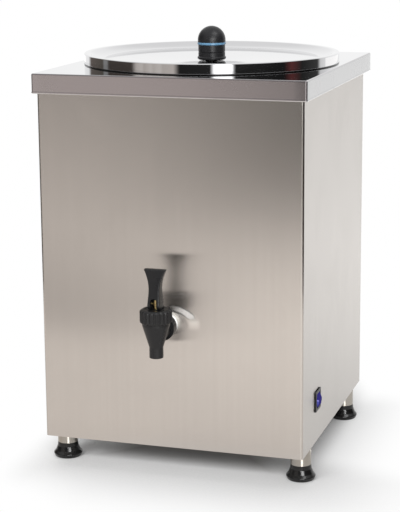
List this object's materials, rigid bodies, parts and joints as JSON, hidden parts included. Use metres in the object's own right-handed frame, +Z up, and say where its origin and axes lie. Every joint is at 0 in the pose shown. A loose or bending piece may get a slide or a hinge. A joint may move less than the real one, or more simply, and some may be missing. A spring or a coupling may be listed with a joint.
{
  "type": "insulated milk dispenser",
  "caption": "Insulated milk dispenser: square steel casing on feet, round lift-off lid with a knob, self-closing front tap, side rocker switch and a cooler in the base bay.",
  "frame": {"origin": "middle of the whole dispenser's footprint, tap included, on the counter under the feet", "axes": "+Z up, -Y out of the front panel where the tap is, +X to the right seen from the front"},
  "size_m": [0.3109, 0.3786, 0.4893],
  "materials": {
    "brushed_panel": "brushed stainless sheet, grain upright",
    "satin_cover": "satin stainless sheet",
    "plain_steel": "mill finish sheet",
    "vessel_steel": "satin food-grade steel",
    "polished_lid": "mirror-polished stainless",
    "black_knob": "satin moulded plastic",
    "sleeve_steel": "turned steel tube",
    "screw_steel": "plated steel",
    "black_tap": "satin moulded plastic",
    "black_housing": "moulded plastic",
    "black_rubber": "matt rubber",
    "pale_silicone": "milky silicone",
    "blue_ring": "clear-tinted moulded plastic",
    "blue_rocker": "translucent blue, lit from inside",
    "brass_stem": "turned brass",
    "bare_aluminium": "extruded",
    "white_ceramic": "fired plates",
    "foam": "rigid foam",
    "grey_leads": "wire insulation",
    "red_leads": "wire insulation"
  },
  "bodies": {
    "cabinet": {"casing_wrap": "brushed_panel", "rear_panel": "brushed_panel", "rear_screws": "screw_steel", "base_plate": "plain_steel", "top_cover": "satin_cover", "deck_plate": "plain_steel", "vessel": "vessel_steel", "outlet_socket": "vessel_steel", "insulation_wall": "foam", "insulation_floor": "foam", "tap_body": "black_tap", "tap_washer": "pale_silicone", "tap_bonnet": "black_tap", "tap_seat": "pale_silicone", "switch_housing": "black_housing", "switch_contacts": "brass_stem", "foot_sleeves": "sleeve_steel", "foot_rubbers": "black_rubber", "foot_bolts": "screw_steel", "foot_nuts": "screw_steel", "cold_plate": "bare_aluminium", "thermoelectric_module": "white_ceramic", "heat_sink": "bare_aluminium", "sink_screws": "screw_steel", "fan_frame": "black_housing", "fan_screws": "screw_steel", "power_supply": "bare_aluminium", "supply_screws": "screw_steel", "power_inlet": "black_housing", "inlet_pins": "brass_stem", "mains_leads": "grey_leads", "low_voltage_leads": "red_leads"},
    "lid": {"lid_shell": "polished_lid", "lid_seal": "black_rubber", "lid_liner": "vessel_steel", "lid_insulation": "foam", "knob_base": "black_knob", "knob_ring": "blue_ring", "knob_dome": "black_knob", "knob_screw": "screw_steel"},
    "stem": {"tap_stem": "brass_stem"},
    "lever": {"tap_handle": "black_tap", "tap_pin": "brass_stem"},
    "rocker": {"switch_rocker": "blue_rocker"},
    "fan": {"fan_rotor": "black_housing"}
  },
  "joints": [
    {"name": "lid_lift", "type": "slide", "parent": "cabinet", "child": "lid", "axis": [0, 0, 1], "range_m": [0, 0.25]},
    {"name": "stem_lift", "type": "slide", "parent": "cabinet", "child": "stem", "axis": [0, 0, 1], "range_m": [0, 0.0022], "deforming": ["tap_seat"]},
    {"name": "lever_tilt", "type": "hinge", "parent": "stem", "child": "lever", "pos_m": [-0.003, -0.17175, 0.2086], "axis": [1, 0, 0], "range_deg": [0, 35], "stiffness_Nm_per_rad": 0.3, "springref_deg": -11.46},
    {"name": "switch_rock", "type": "hinge", "parent": "cabinet", "child": "rocker", "pos_m": [0.148, -0.06875, 0.083], "axis": [0, 1, 0], "range_deg": [0, 16]},
    {"name": "fan_spin", "type": "hinge", "parent": "cabinet", "child": "fan", "pos_m": [0, 0.02775, 0.09], "axis": [0, 0, 1], "continuous": true}
  ],
  "couplings": [
    {"joint": "stem_lift", "follows": "lever_tilt", "m_per_rad": 0.0035}
  ]
}
